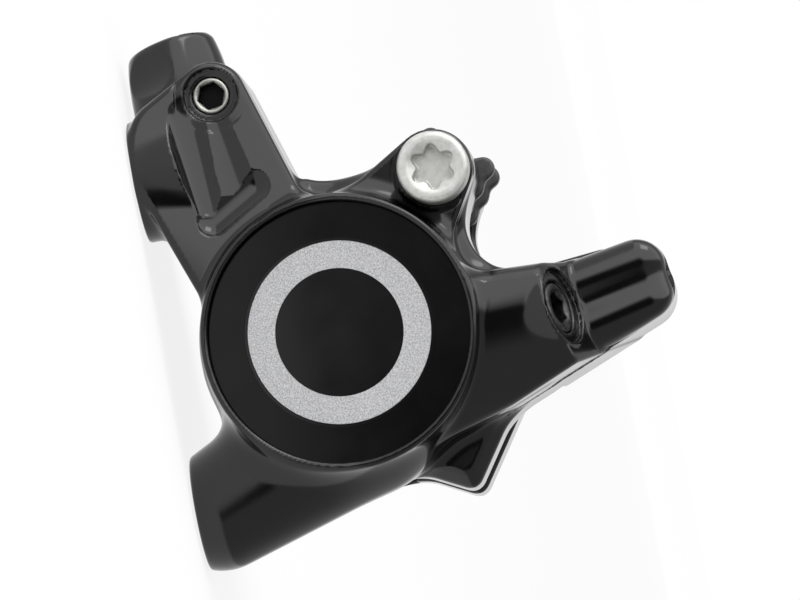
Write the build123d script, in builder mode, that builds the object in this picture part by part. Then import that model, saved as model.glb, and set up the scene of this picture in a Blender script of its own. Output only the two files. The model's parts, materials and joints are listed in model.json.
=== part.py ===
from build123d import *
import math
import os

# A flat-mount hydraulic disc brake caliper for a bicycle, in millimetres. The origin lies on the
# flat base, midway between the two frame bolts. X runs along the frame tube toward the hub, Y runs
# across the rotor toward the wheel, and Z points away from the tube.

os.makedirs("parts", exist_ok=True)

# Flat base
mount_pitch = 34.0
mount_thread_r = 2.1
mount_thread_depth = 9.0
front_foot_r = 6.2
front_foot_shift = 0.2
front_foot_height = 8.0

# Rotor, and where the cylinders stand over it
rotor_r = 70.0
rotor_edge_clearance = 1.5
slot_half_width = 2.6
rotor_y = 13.0
piston_x = 2.1
piston_z = 17.7
piston_to_hub = 61.5
outward_angle = 139.7

# Pistons, counted by their distance from the rotor's middle plane
piston_r = 10.5
piston_length = 7.0
piston_clearance = 0.05
piston_cup_r = 7.8
piston_cup_depth = 5.2
insulator_r = 9.4
insulator_thickness = 1.5
insulator_clearance = 0.03
seal_width = 2.0
seal_depth = 1.7
seal_setback = 2.0
seal_clearance = 0.05
bore_floor_gap = 3.6

# Pads
friction_gap = 1.5
friction_thickness = 2.2
plate_thickness = 1.8
pad_seat_gap = 0.05
pad_half_length = 11.8
pad_inner_edge = 9.4
pad_outer_edge = 8.6
pad_corner_r = 1.6
friction_half_length = 9.3
friction_inner_edge = 8.2
friction_outer_edge = 6.9
tab_half_width = 3.1
tab_past_bolt = 3.2
tab_lobe_r = 1.15
cavity_side_clearance = 0.4

# Pad bolt, which the pads' tabs hang on
pad_bolt_reach = 19.0
pad_bolt_r = 2.0
pad_bolt_head_r = 3.62
pad_bolt_head_height = 3.6
pad_bolt_head_edge_r = 0.55
pad_bolt_socket_r = 1.72
pad_bolt_socket_lobe_r = 0.62
pad_bolt_socket_reach = 1.72
pad_bolt_socket_depth = 1.9
pad_bolt_seat_y = -3.7
pad_bolt_end = 1.6
pad_bolt_clearance = 0.3
thread_clearance = 0.03
pad_boss_r = 4.05
pad_boss_lean = 0.25
pad_boss_root_r = 7.3
pad_boss_root_reach = 6.2
pad_boss_root_lean = 1.3
inboard_pad_boss_r = 3.7
pad_boss_depth = 6.0
clip_groove_r = 1.5
clip_r = 3.3
clip_thickness = 0.6
clip_gap = 2.2
clip_setback = 0.15

# Round boss of the cylinders
rim_y = -7.5
rim_r = 13.9
rim_edge_r = 0.5
boss_root_r = 15.0
boss_root_y = 8.0
inboard_depth = 19.0
inboard_end_r = 12.6
inboard_edge_r = 2.4

# Cap over the outer cylinder
cap_sink = 1.6
cap_r = 13.15
cap_clearance = 0.03
cap_flange = 2.5
cap_spigot_r = 11.6
cap_spigot = 1.8
cap_ring_cord_r = 0.5
cap_groove_setback = 0.4
badge_r = 9.6
badge_thickness = 0.5
silver_ring_outer_r = 9.25
silver_ring_inner_r = 6.43
silver_ring_thickness = 0.3
silver_ring_proud = 0.08

# Hose arm, with the port and the drilled oil passage
hose_arm_front_y = -4.0
hose_arm_edge_r = 1.6
hose_arm_root_x = -6.5
hose_arm_root_z = 11.0
hose_arm_root_r = 6.9
hose_arm_foot_r = 5.4
hose_arm_foot_z = 5.6
hose_arm_corner_x = -20.6
hose_arm_corner_z = 4.5
hose_arm_corner_r = 4.3
inboard_hose_arm_r = 5.2
inboard_hose_root_r = 6.0
inboard_passage_boss_r = 2.9
right_channel_start = (-21.8, -7.0, 9.3)
right_channel_end = (-14.6, -7.4, 10.6)
right_channel_r = 3.5
left_channel_start = (-22.9, -6.6, 6.7)
left_channel_end = (-12.2, -7.0, 7.4)
left_channel_r = 3.2
port_x = -32.1
port_y = 7.0
port_z = 5.4
port_boss_r = 5.25
port_boss_length = 10.0
port_boss_mouth_r = 4.1
port_boss_taper = 3.0
port_boss_base_z = 0.3
port_roof_y = 1.9
port_roof_low_way = (-0.15, -0.81, -0.56)
port_roof_high_way = (-0.2, -0.79, 0.58)
port_thread_r = 3.6
port_depth = 6.5
port_feed_z = 8.2
passage_x = -24.24
passage_z = 9.12
passage_r = 1.0
passage_boss_r = 3.5
plug_r = 1.85
plug_length = 5.0
plug_sink = 0.9
plug_hex = 2.5
plug_hex_depth = 1.8
plug_bore_r = 2.7
spotface_r = 3.3
spotface_depth = 0.5
crossover_ring_r = 1.5
crossover_cord_r = 0.4
crossover_groove_r = 1.95
inboard_passage_depth = 6.0
feed_r = 0.75
feed_y = -0.55
feed_from_y = 3.5
feed_share = 0.86

# Bleed arm, with two ridges and a screw that leans toward the viewer
bleed_x = 3.53
bleed_y = -3.2
bleed_z = 40.16
bleed_lean = 21.8
bleed_turn = 97.8
bleed_boss_r = 4.2
bleed_boss_length = 13.0
bleed_recess_r = 3.9
bleed_recess_depth = 0.4
bleed_screw_r = 2.65
bleed_screw_length = 6.5
bleed_screw_clearance = 0.05
bleed_screw_neck = 0.8
bleed_hex = 3.0
bleed_hex_depth = 2.4
bleed_cord_r = 0.4
bleed_groove_setback = 2.6
bleed_feed_r = 0.8
ridge_front_y = 0.2
ridge_edge_r = 2.2
arm_root_front_y = -6.4
near_root_front_y = -5.6
arm_root_edge_r = 2.4
near_ridge_tip_x = 1.1
near_ridge_tip_z = 47.8
near_ridge_tip_r = 3.4
near_ridge_root_x = 3.64
near_ridge_root_z = 33.0
near_ridge_root_r = 3.5
far_ridge_tip_x = 2.8
far_ridge_tip_z = 48.05
far_ridge_tip_r = 3.45
far_ridge_root_x = 5.6
far_ridge_root_z = 31.0
far_ridge_root_r = 7.1

# Rear arm, a round taper from the rear foot into the boss
rear_arm_foot_z = 2.3
rear_arm_foot_r = 6.15
rear_arm_root_x = 10.9
rear_arm_root_y = 1.4
rear_arm_root_z = 17.5
rear_arm_root_r = 7.6

# End walls that the pads push against
wall_outer = 19.2
wall_taper = 1.1
wall_inner_edge = 7.4
wall_outer_edge = 4.0
wall_depth = 9.5
wall_edge_r = 1.4
wall_chamfer = 1.25
web_front_y = -1.0
web_fillet_r = 5.0
web_inset = 0.2
inboard_hose_arm_depth = 14.5
inboard_bleed_arm_depth = 9.5
inboard_arm_edge_r = 2.0
inboard_bleed_tip_x = 1.5
inboard_bleed_tip_z = 44.6
inboard_bleed_tip_r = 4.6
inboard_bleed_root_x = 3.0
inboard_bleed_root_z = 31.0
inboard_bleed_root_r = 6.0

# Bolts that hold the halves together
body_bolt_r = 2.5
body_bolt_head_r = 3.5
body_bolt_head_height = 3.2
body_bolt_grip = 9.0
body_bolt_tip_gap = 0.8
body_bolt_hex = 3.0
body_bolt_hex_depth = 2.0
body_bolt_sink = 0.3
body_bolt_clearance = 0.1
head_clearance = 0.2
front_bolt_x = -21.2
front_bolt_z = 5.4
rear_bolt_x = 1.6
rear_bolt_z = 44.5

# Spring between the pads
spring_thickness = 0.3
spring_clearance = 0.05
spring_leg_width = 1.8
spring_leg_inner = 6.0
spring_bridge = 11.4
spring_half_length = 11.5

overrun = 2.0

# Directions and places that follow from the sizes above
outward_x = math.cos(math.radians(outward_angle))
outward_z = math.sin(math.radians(outward_angle))
along_x = outward_z
along_z = -outward_x
hub_x = piston_x - piston_to_hub * outward_x
hub_z = piston_z - piston_to_hub * outward_z
slot_r = rotor_r + rotor_edge_clearance
pad_bolt_x = piston_x + pad_bolt_reach * outward_x
pad_bolt_z = piston_z + pad_bolt_reach * outward_z
tab_end = pad_bolt_reach + tab_past_bolt
pad_back = friction_gap + friction_thickness + plate_thickness
plate_face = friction_gap + friction_thickness
piston_face = pad_back + pad_seat_gap
piston_back = piston_face + piston_length
bore_r = piston_r + piston_clearance
cavity_half_length = pad_half_length + cavity_side_clearance
cap_face_y = rim_y + cap_sink
cap_seat_y = cap_face_y + cap_flange
cap_end_y = cap_seat_y + cap_spigot
inboard_hose_arm_y = rotor_y + inboard_hose_arm_depth
inboard_bleed_arm_y = rotor_y + inboard_bleed_arm_depth
bore_floor = piston_back + bore_floor_gap
bleed_way = (
    math.cos(math.radians(bleed_lean)) * math.cos(math.radians(bleed_turn)),
    -math.sin(math.radians(bleed_lean)),
    math.cos(math.radians(bleed_lean)) * math.sin(math.radians(bleed_turn)),
)
spotface_y = hose_arm_front_y + spotface_depth
plug_face_y = spotface_y + plug_sink
body_bolt_seat_y = inboard_bleed_arm_y - body_bolt_head_height - body_bolt_sink
body_bolt_tip_y = rotor_y - body_bolt_grip
body_bolt_places = [(front_bolt_x, front_bolt_z), (rear_bolt_x, rear_bolt_z)]
bore_axis = Axis((piston_x, 0, piston_z), (0, 1, 0))
bore_section = Plane(origin=(piston_x, 0, piston_z), x_dir=(1, 0, 0), z_dir=(0, 0, 1))


def face_on(y):
    """The plane that a viewer beside the wheel sees face on, at depth y."""
    return Plane(origin=(0, y, 0), x_dir=(1, 0, 0), z_dir=(0, -1, 0))


def pad_on(y):
    """That plane turned with the pads: along the rotor's edge first, then away from the hub."""
    return Plane(origin=(piston_x, y, piston_z), x_dir=(along_x, 0, along_z), z_dir=(0, -1, 0))


def at_pad(t, r):
    """The x and z of a place along the rotor's edge and away from the hub."""
    return piston_x + t * along_x + r * outward_x, piston_z + t * along_z + r * outward_z


def far_y(side, near, far):
    """The larger y of a piece that spans two distances from the rotor, -1 outboard, 1 inboard."""
    return rotor_y + max(side * near, side * far)


def on_bleed(distance):
    """A point on the bleed screw's axis, so far out from the mouth of its recess."""
    x, y, z = bleed_way
    return (bleed_x + distance * x, bleed_y + distance * y, bleed_z + distance * z)


def profile(points):
    """A closed outline through points, for a turned piece."""
    with BuildSketch() as drawing:
        with BuildLine():
            Polyline(*points, close=True)
        make_face()
    return drawing.sketch_local


def hull(*rounds):
    """The outline that a cord pulled round some circles takes, each given as x, z and radius."""
    with BuildSketch() as drawing:
        for x, z, radius in rounds:
            with Locations((x, z)):
                Circle(radius)
        make_hull()
    return drawing.sketch_local


def web(*arms):
    """The outline of a half's boss and arms, with the corners between them filled."""
    with BuildSketch() as drawing:
        with Locations((piston_x, piston_z)):
            Circle(boss_root_r)
        for rounds in arms:
            add(hull(*rounds))
        offset(amount=web_fillet_r, kind=Kind.ARC)
        offset(amount=-web_fillet_r - web_inset, kind=Kind.ARC)
    return drawing.sketch_local


def taper(start, end, start_r, end_r, mode=Mode.ADD):
    """A round bar with ball ends, from one point to another."""
    way = Vector(*end) - Vector(*start)
    section = Plane(origin=start, x_dir=way, z_dir=way.cross(Vector(0, 1, 0)))
    length = way.length + 2 * (start_r + end_r)
    with BuildSketch(section) as drawing:
        add(hull((0, 0, start_r), (way.length, 0, end_r)))
        with Locations((way.length / 2, 0)):
            Rectangle(length, length, align=(Align.CENTER, Align.MAX), mode=Mode.SUBTRACT)
    revolve(drawing.sketch, axis=Axis(start, way), mode=mode)


def drill(mouth, way, radius, length):
    """Cuts a round hole from its mouth along a direction."""
    with Locations(Plane(origin=mouth, z_dir=way)):
        Cylinder(radius, length, align=(Align.CENTER, Align.CENTER, Align.MIN), mode=Mode.SUBTRACT)


def drill_between(start, end, radius):
    """Cuts a round hole from one point to another."""
    way = Vector(*end) - Vector(*start)
    drill(start, way, radius, way.length)


def turn(points, mode=Mode.ADD):
    """Turns an outline of radius and y about the cylinders' axis."""
    with BuildSketch(bore_section) as drawing:
        add(profile(points))
    revolve(drawing.sketch, axis=bore_axis, mode=mode)


def turn_side(side, points, mode=Mode.ADD):
    """Turns an outline of radius and distance from the rotor, on one side of it."""
    turn([(radius, rotor_y + side * away) for radius, away in points], mode)


def cut_pad_space(front, back):
    """Cuts the space for the pads through a half that lies between two depths."""
    with BuildSketch(pad_on(max(front, back))) as drawing:
        Rectangle(2 * cavity_half_length, 2 * (rotor_r - rotor_edge_clearance))
    extrude(drawing.sketch, amount=abs(back - front), mode=Mode.SUBTRACT)


def cut_rotor_slot(front, back):
    """Cuts the part of the slot that the rotor runs in."""
    with BuildSketch(face_on(max(front, back))) as drawing:
        with Locations((hub_x, hub_z)):
            Circle(slot_r)
    extrude(drawing.sketch, amount=abs(back - front), mode=Mode.SUBTRACT)


def cut_seal_groove(side):
    """Cuts the groove of a piston's square ring."""
    near = piston_face + seal_setback
    far = near + seal_width + 2 * seal_clearance
    outer = piston_r + seal_depth + seal_clearance
    turn_side(side, [(0, near), (outer, near), (outer, far), (0, far)], Mode.SUBTRACT)


def arm_bar(rounds, front_y, edge_r):
    """A bar with an arm's outline, from the middle plane to a rounded front."""
    with BuildPart() as bar:
        with BuildSketch(face_on(rotor_y)):
            add(hull(*rounds))
        extrude(amount=rotor_y - front_y)
        fillet(bar.faces().sort_by(Axis.Y)[0].edges(), radius=edge_r)
    return bar.part


# Outlines of the arms, which both halves share
hose_arm_rounds = [
    (passage_x, passage_z, passage_boss_r),
    (hose_arm_corner_x, hose_arm_corner_z, hose_arm_corner_r),
    (-mount_pitch / 2, hose_arm_foot_z, hose_arm_foot_r),
    (hose_arm_root_x, hose_arm_root_z, hose_arm_root_r),
]
inboard_hose_arm_rounds = [
    (passage_x, passage_z, inboard_passage_boss_r),
    (front_bolt_x, front_bolt_z, inboard_hose_arm_r),
    (hose_arm_root_x, hose_arm_root_z, inboard_hose_root_r),
]
inboard_bleed_arm_rounds = [
    (inboard_bleed_tip_x, inboard_bleed_tip_z, inboard_bleed_tip_r),
    (inboard_bleed_root_x, inboard_bleed_root_z, inboard_bleed_root_r),
]
near_ridge_rounds = [
    (near_ridge_tip_x, near_ridge_tip_z, near_ridge_tip_r),
    (near_ridge_root_x, near_ridge_root_z, near_ridge_root_r),
]
far_ridge_rounds = [
    (far_ridge_tip_x, far_ridge_tip_z, far_ridge_tip_r),
    (far_ridge_root_x, far_ridge_root_z, far_ridge_root_r),
]
pad_boss_root = (*at_pad(-pad_boss_root_lean, pad_boss_root_reach), pad_boss_root_r)
pad_boss_rounds = [(*at_pad(-pad_boss_lean, pad_bolt_reach), pad_boss_r), pad_boss_root]
inboard_pad_boss_rounds = [(pad_bolt_x, pad_bolt_z, inboard_pad_boss_r), pad_boss_root]

# Hose arm of the outer half
with BuildPart() as hose_arm:
    with BuildSketch(face_on(rotor_y)):
        add(hull(*hose_arm_rounds))
    extrude(amount=rotor_y - hose_arm_front_y)
    fillet(hose_arm.faces().sort_by(Axis.Y)[0].edges(), radius=hose_arm_edge_r)

# Boss of the hose port, with a tapered end and a flat under it
with BuildPart() as port_boss:
    with BuildSketch(Plane.XY.offset(port_z)) as boss_half:
        with BuildLine():
            Polyline(
                (port_x, port_y),
                (port_x, port_y + port_boss_mouth_r),
                (port_x + port_boss_taper, port_y + port_boss_r),
                (port_x + port_boss_length, port_y + port_boss_r),
                (port_x + port_boss_length, port_y),
                close=True,
            )
        make_face()
    revolve(axis=Axis((port_x, port_y, port_z), (1, 0, 0)))
    with Locations((port_x, port_y, port_boss_base_z)):
        Box(
            2 * port_boss_length,
            2 * port_boss_length,
            port_boss_length,
            align=(Align.CENTER, Align.CENTER, Align.MAX),
            mode=Mode.SUBTRACT,
        )
    # Two slanted flats that meet in a ridge along its front
    for way in (port_roof_low_way, port_roof_high_way):
        split(bisect_by=Plane(origin=(port_x, port_roof_y, port_z), z_dir=way), keep=Keep.BOTTOM)

# Two ridges of the bleed arm
near_ridge = arm_bar(near_ridge_rounds, ridge_front_y, ridge_edge_r)
far_ridge = arm_bar(far_ridge_rounds, ridge_front_y, ridge_edge_r)

# Thick root of the bleed arm, which ends at the slanted face that the bleed screw sits in
near_root = arm_bar(near_ridge_rounds, near_root_front_y, arm_root_edge_r)
far_root = arm_bar(far_ridge_rounds, arm_root_front_y, arm_root_edge_r)
with BuildPart() as arm_root:
    add(near_root)
    add(far_root)
    split(bisect_by=Plane(origin=on_bleed(0), z_dir=bleed_way), keep=Keep.BOTTOM)

# Rear arm, cut off flat at its foot
with BuildPart() as rear_arm:
    taper(
        (mount_pitch / 2, 0, rear_arm_foot_z),
        (rear_arm_root_x, rear_arm_root_y, rear_arm_root_z),
        rear_arm_foot_r,
        rear_arm_root_r,
    )
    with Locations((mount_pitch / 2, 0, 0)):
        Box(
            mount_pitch,
            mount_pitch,
            mount_pitch,
            align=(Align.CENTER, Align.CENTER, Align.MAX),
            mode=Mode.SUBTRACT,
        )

# Boss that carries the head of the pad bolt
with BuildPart() as pad_boss:
    with BuildSketch(face_on(rotor_y - pad_back)):
        add(hull(*pad_boss_rounds))
    extrude(amount=rotor_y - pad_back - pad_bolt_seat_y)

# End wall of the pad space, which stands out behind the bleed arm
with BuildSketch() as wall_outline:
    with BuildLine():
        Polyline(
            (0, -wall_inner_edge),
            (wall_outer, -wall_inner_edge),
            (wall_outer - wall_taper, wall_outer_edge),
            (0, wall_outer_edge),
            close=True,
        )
    make_face()
    fillet(wall_outline.vertices().sort_by(Axis.X)[-2:], radius=wall_edge_r)

with BuildPart() as outboard_wall:
    with BuildSketch(pad_on(rotor_y)):
        add(wall_outline.sketch_local)
    extrude(amount=wall_depth)
    chamfer(outboard_wall.faces().sort_by(Axis.Y)[0].edges(), length=wall_chamfer)

with BuildPart() as inboard_wall:
    with BuildSketch(pad_on(rotor_y + wall_depth)):
        add(wall_outline.sketch_local)
    extrude(amount=wall_depth)
    chamfer(inboard_wall.faces().sort_by(Axis.Y)[-1].edges(), length=wall_chamfer)

# Outer half of the body
with BuildPart() as outboard_body:
    turn([(0, rim_y), (rim_r, rim_y), (boss_root_r, boss_root_y), (boss_root_r, rotor_y), (0, rotor_y)])
    fillet(outboard_body.faces().sort_by(Axis.Y)[0].edges(), radius=rim_edge_r)
    add(hose_arm.part)
    add(port_boss.part)
    add(near_ridge)
    add(far_ridge)
    add(arm_root.part)
    add(rear_arm.part)
    add(pad_boss.part)
    with BuildSketch(face_on(rotor_y)):
        add(web(hose_arm_rounds, near_ridge_rounds, far_ridge_rounds, pad_boss_rounds))
    extrude(amount=rotor_y - web_front_y)
    add(outboard_wall.part)
    with Locations((-mount_pitch / 2 - front_foot_shift, 0, 0)):
        Cylinder(front_foot_r, front_foot_height, align=(Align.CENTER, Align.CENTER, Align.MIN))
    with Locations(Plane(origin=on_bleed(0), z_dir=bleed_way)):
        Cylinder(bleed_boss_r, bleed_boss_length, align=(Align.CENTER, Align.CENTER, Align.MAX))
    # Channels that a round cutter left down the hose arm
    taper(right_channel_start, right_channel_end, right_channel_r, right_channel_r, Mode.SUBTRACT)
    taper(left_channel_start, left_channel_end, left_channel_r, left_channel_r, Mode.SUBTRACT)
    # Spaces for the pads and the rotor
    cut_pad_space(rotor_y - pad_back, rotor_y + overrun)
    cut_rotor_slot(rotor_y - slot_half_width, rotor_y + overrun)
    # Cap's recess, oil chamber and cylinder
    turn(
        [
            (0, rim_y - overrun),
            (cap_r + cap_clearance, rim_y - overrun),
            (cap_r + cap_clearance, cap_seat_y),
            (cap_spigot_r + cap_clearance, cap_seat_y),
            (cap_spigot_r + cap_clearance, cap_end_y),
            (bore_r, cap_end_y),
            (bore_r, rotor_y),
            (0, rotor_y),
        ],
        Mode.SUBTRACT,
    )
    cut_seal_groove(-1)
    # Frame bolts' threads
    for side in (-1, 1):
        drill((side * mount_pitch / 2, 0, -overrun), (0, 0, 1), mount_thread_r, mount_thread_depth + overrun)
    # Pad bolt's hole
    drill((pad_bolt_x, rim_y, pad_bolt_z), (0, 1, 0), pad_bolt_r + pad_bolt_clearance, rotor_y - rim_y)
    drill(
        (pad_bolt_x, pad_bolt_seat_y, pad_bolt_z), (0, -1, 0), pad_bolt_head_r + head_clearance, overrun
    )
    # Threads of the bolts that hold the halves together
    for x, z in body_bolt_places:
        drill(
            (x, rotor_y, z), (0, -1, 0), body_bolt_r + thread_clearance, body_bolt_grip + body_bolt_tip_gap
        )
    # Hose port and its feed to the oil passage
    drill((port_x - overrun, port_y, port_z), (1, 0, 0), port_thread_r, port_depth + overrun)
    drill_between(
        (port_x + port_depth - overrun, port_y, port_feed_z), (passage_x, port_y, port_feed_z), passage_r
    )
    # Oil passage between the halves, its spotface and its plug's thread
    drill((passage_x, rotor_y, passage_z), (0, -1, 0), passage_r, rotor_y - plug_face_y)
    drill((passage_x, spotface_y, passage_z), (0, -1, 0), spotface_r, overrun)
    drill((passage_x, spotface_y, passage_z), (0, 1, 0), plug_bore_r, plug_sink)
    drill((passage_x, plug_face_y, passage_z), (0, 1, 0), plug_r + thread_clearance, plug_length)
    drill((passage_x, rotor_y, passage_z), (0, -1, 0), crossover_groove_r, 2 * crossover_cord_r)
    drill_between(
        (piston_x - feed_share * bore_r, feed_y, piston_z), (passage_x, feed_from_y, passage_z), feed_r
    )
    # Bleed screw's recess, thread, seat and feed
    drill(on_bleed(-bleed_recess_depth), bleed_way, bleed_recess_r, bleed_boss_length)
    bleed_seat = -bleed_recess_depth - bleed_screw_length - bleed_screw_neck
    drill(
        on_bleed(bleed_seat),
        bleed_way,
        bleed_screw_r + bleed_screw_clearance,
        bleed_screw_length + bleed_screw_neck,
    )
    drill_between(on_bleed(bleed_seat), (piston_x, feed_y, piston_z + feed_share * bore_r), bleed_feed_r)
outboard_body.part.label = "outboard_body"
export_step(outboard_body.part, "parts/outboard_body.step")

# Arms of the inner half
with BuildPart() as inboard_hose_arm:
    with BuildSketch(face_on(inboard_hose_arm_y)):
        add(hull(*inboard_hose_arm_rounds))
    extrude(amount=inboard_hose_arm_depth)
    fillet(inboard_hose_arm.faces().sort_by(Axis.Y)[-1].edges(), radius=inboard_arm_edge_r)

with BuildPart() as inboard_bleed_arm:
    with BuildSketch(face_on(inboard_bleed_arm_y)):
        add(hull(*inboard_bleed_arm_rounds))
    extrude(amount=inboard_bleed_arm_depth)
    fillet(inboard_bleed_arm.faces().sort_by(Axis.Y)[-1].edges(), radius=inboard_arm_edge_r)

# Inner half of the body
with BuildPart() as inboard_body:
    turn_side(
        1,
        [
            (0, 0),
            (boss_root_r, 0),
            (boss_root_r, pad_back),
            (inboard_end_r, inboard_depth),
            (0, inboard_depth),
        ],
    )
    fillet(inboard_body.faces().sort_by(Axis.Y)[-1].edges(), radius=inboard_edge_r)
    add(inboard_hose_arm.part)
    add(inboard_bleed_arm.part)
    with BuildSketch(face_on(rotor_y + wall_depth)):
        add(web(inboard_hose_arm_rounds, inboard_bleed_arm_rounds, inboard_pad_boss_rounds))
    extrude(amount=wall_depth)
    add(inboard_wall.part)
    with BuildSketch(face_on(rotor_y + pad_back + pad_boss_depth)):
        add(hull(*inboard_pad_boss_rounds))
    extrude(amount=pad_boss_depth)
    cut_pad_space(rotor_y - overrun, rotor_y + pad_back)
    cut_rotor_slot(rotor_y - overrun, rotor_y + slot_half_width)
    turn_side(1, [(0, 0), (bore_r, 0), (bore_r, bore_floor), (0, bore_floor)], Mode.SUBTRACT)
    cut_seal_groove(1)
    # Pad bolt's thread
    drill(
        (pad_bolt_x, rotor_y, pad_bolt_z), (0, 1, 0), pad_bolt_r + thread_clearance, inboard_depth
    )
    # Seat of the clip, where the boss stands in its way
    drill(
        (pad_bolt_x, rotor_y + pad_back + pad_boss_depth, pad_bolt_z),
        (0, 1, 0),
        clip_r + head_clearance,
        inboard_depth,
    )
    # Body bolts' holes and the recesses of their heads
    for x, z in body_bolt_places:
        drill((x, rotor_y, z), (0, 1, 0), body_bolt_r + body_bolt_clearance, inboard_depth)
        drill((x, body_bolt_seat_y, z), (0, 1, 0), body_bolt_head_r + head_clearance, inboard_depth)
    # Oil passage and its feed to the cylinder
    drill((passage_x, rotor_y, passage_z), (0, 1, 0), passage_r, inboard_passage_depth)
    drill_between(
        (passage_x, rotor_y + inboard_passage_depth - passage_r, passage_z),
        (piston_x - feed_share * bore_r, rotor_y + bore_floor - bore_floor_gap / 2, piston_z),
        feed_r,
    )
inboard_body.part.label = "inboard_body"
export_step(inboard_body.part, "parts/inboard_body.step")

# Cap, with a groove for its ring and a shallow place for its disc
with BuildPart() as bore_cap:
    groove_near_y = cap_seat_y + cap_groove_setback
    groove_far_y = groove_near_y + 2 * cap_ring_cord_r
    groove_r = cap_spigot_r - 2 * cap_ring_cord_r
    turn(
        [
            (0, cap_face_y + badge_thickness),
            (badge_r, cap_face_y + badge_thickness),
            (badge_r, cap_face_y),
            (cap_r, cap_face_y),
            (cap_r, cap_seat_y),
            (cap_spigot_r, cap_seat_y),
            (cap_spigot_r, groove_near_y),
            (groove_r, groove_near_y),
            (groove_r, groove_far_y),
            (cap_spigot_r, groove_far_y),
            (cap_spigot_r, cap_end_y),
            (0, cap_end_y),
        ]
    )
bore_cap.part.label = "bore_cap"
export_step(bore_cap.part, "parts/bore_cap.step")

# Ring under the cap
with BuildPart() as cap_seal:
    with BuildSketch(bore_section) as cord:
        with Locations((cap_spigot_r - cap_ring_cord_r, groove_near_y + cap_ring_cord_r)):
            Circle(cap_ring_cord_r)
    revolve(axis=bore_axis)
cap_seal.part.label = "cap_seal"
export_step(cap_seal.part, "parts/cap_seal.step")

# Disc in the cap's face, and the silver ring in the disc
with BuildPart() as cap_badge:
    silver_seat_y = cap_face_y + silver_ring_thickness - silver_ring_proud
    turn(
        [
            (0, cap_face_y),
            (silver_ring_inner_r, cap_face_y),
            (silver_ring_inner_r, silver_seat_y),
            (silver_ring_outer_r, silver_seat_y),
            (silver_ring_outer_r, cap_face_y),
            (badge_r - cap_clearance, cap_face_y),
            (badge_r - cap_clearance, cap_face_y + badge_thickness),
            (0, cap_face_y + badge_thickness),
        ]
    )
cap_badge.part.label = "cap_badge"
export_step(cap_badge.part, "parts/cap_badge.step")

with BuildPart() as cap_ring:
    turn(
        [
            (silver_ring_inner_r + cap_clearance, cap_face_y - silver_ring_proud),
            (silver_ring_outer_r - cap_clearance, cap_face_y - silver_ring_proud),
            (silver_ring_outer_r - cap_clearance, silver_seat_y),
            (silver_ring_inner_r + cap_clearance, silver_seat_y),
        ]
    )
cap_ring.part.label = "cap_ring"
export_step(cap_ring.part, "parts/cap_ring.step")

# The pieces that both sides have
for side, name in ((-1, "outboard"), (1, "inboard")):
    # Piston, a cup that opens toward the pad
    with BuildPart() as piston:
        turn_side(
            side,
            [
                (0, piston_face + piston_cup_depth),
                (piston_cup_r, piston_face + piston_cup_depth),
                (piston_cup_r, piston_face + insulator_thickness),
                (insulator_r, piston_face + insulator_thickness),
                (insulator_r, piston_face),
                (piston_r, piston_face),
                (piston_r, piston_back),
                (0, piston_back),
            ],
        )
    piston.part.label = f"piston_{name}"
    export_step(piston.part, f"parts/piston_{name}.step")

    # Heat shield in the piston's mouth
    with BuildPart() as insulator:
        turn_side(
            side,
            [
                (0, piston_face),
                (insulator_r - insulator_clearance, piston_face),
                (insulator_r - insulator_clearance, piston_face + insulator_thickness),
                (0, piston_face + insulator_thickness),
            ],
        )
    insulator.part.label = f"piston_insulator_{name}"
    export_step(insulator.part, f"parts/piston_insulator_{name}.step")

    # Square ring round the piston
    with BuildPart() as seal:
        seal_near = piston_face + seal_setback + seal_clearance
        turn_side(
            side,
            [
                (piston_r + piston_clearance, seal_near),
                (piston_r + seal_depth, seal_near),
                (piston_r + seal_depth, seal_near + seal_width),
                (piston_r + piston_clearance, seal_near + seal_width),
            ],
        )
    seal.part.label = f"piston_seal_{name}"
    export_step(seal.part, f"parts/piston_seal_{name}.step")

    # Backing plate, with the lobed tab that hangs on the pad bolt
    with BuildPart() as plate:
        with BuildSketch(pad_on(far_y(side, plate_face, pad_back))) as plate_outline:
            with Locations((0, (pad_outer_edge - pad_inner_edge) / 2)):
                RectangleRounded(2 * pad_half_length, pad_outer_edge + pad_inner_edge, pad_corner_r)
            with Locations((0, tab_end / 2)):
                Rectangle(2 * tab_half_width, tab_end)
            for lobe in range(3):
                with Locations((tab_half_width, tab_end - 2 * lobe * tab_lobe_r)):
                    Circle(tab_lobe_r)
                with Locations((-tab_half_width, tab_end - 2 * lobe * tab_lobe_r)):
                    Circle(tab_lobe_r)
            with Locations((0, tab_end)):
                Circle(tab_lobe_r)
            with Locations((0, pad_bolt_reach)):
                Circle(pad_bolt_r + pad_bolt_clearance, mode=Mode.SUBTRACT)
        extrude(amount=plate_thickness)
    plate.part.label = f"pad_plate_{name}"
    export_step(plate.part, f"parts/pad_plate_{name}.step")

    # Friction block
    with BuildPart() as friction:
        with BuildSketch(pad_on(far_y(side, friction_gap, plate_face))):
            with Locations((0, (friction_outer_edge - friction_inner_edge) / 2)):
                RectangleRounded(
                    2 * friction_half_length, friction_outer_edge + friction_inner_edge, pad_corner_r
                )
        extrude(amount=friction_thickness)
    friction.part.label = f"pad_friction_{name}"
    export_step(friction.part, f"parts/pad_friction_{name}.step")

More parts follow.
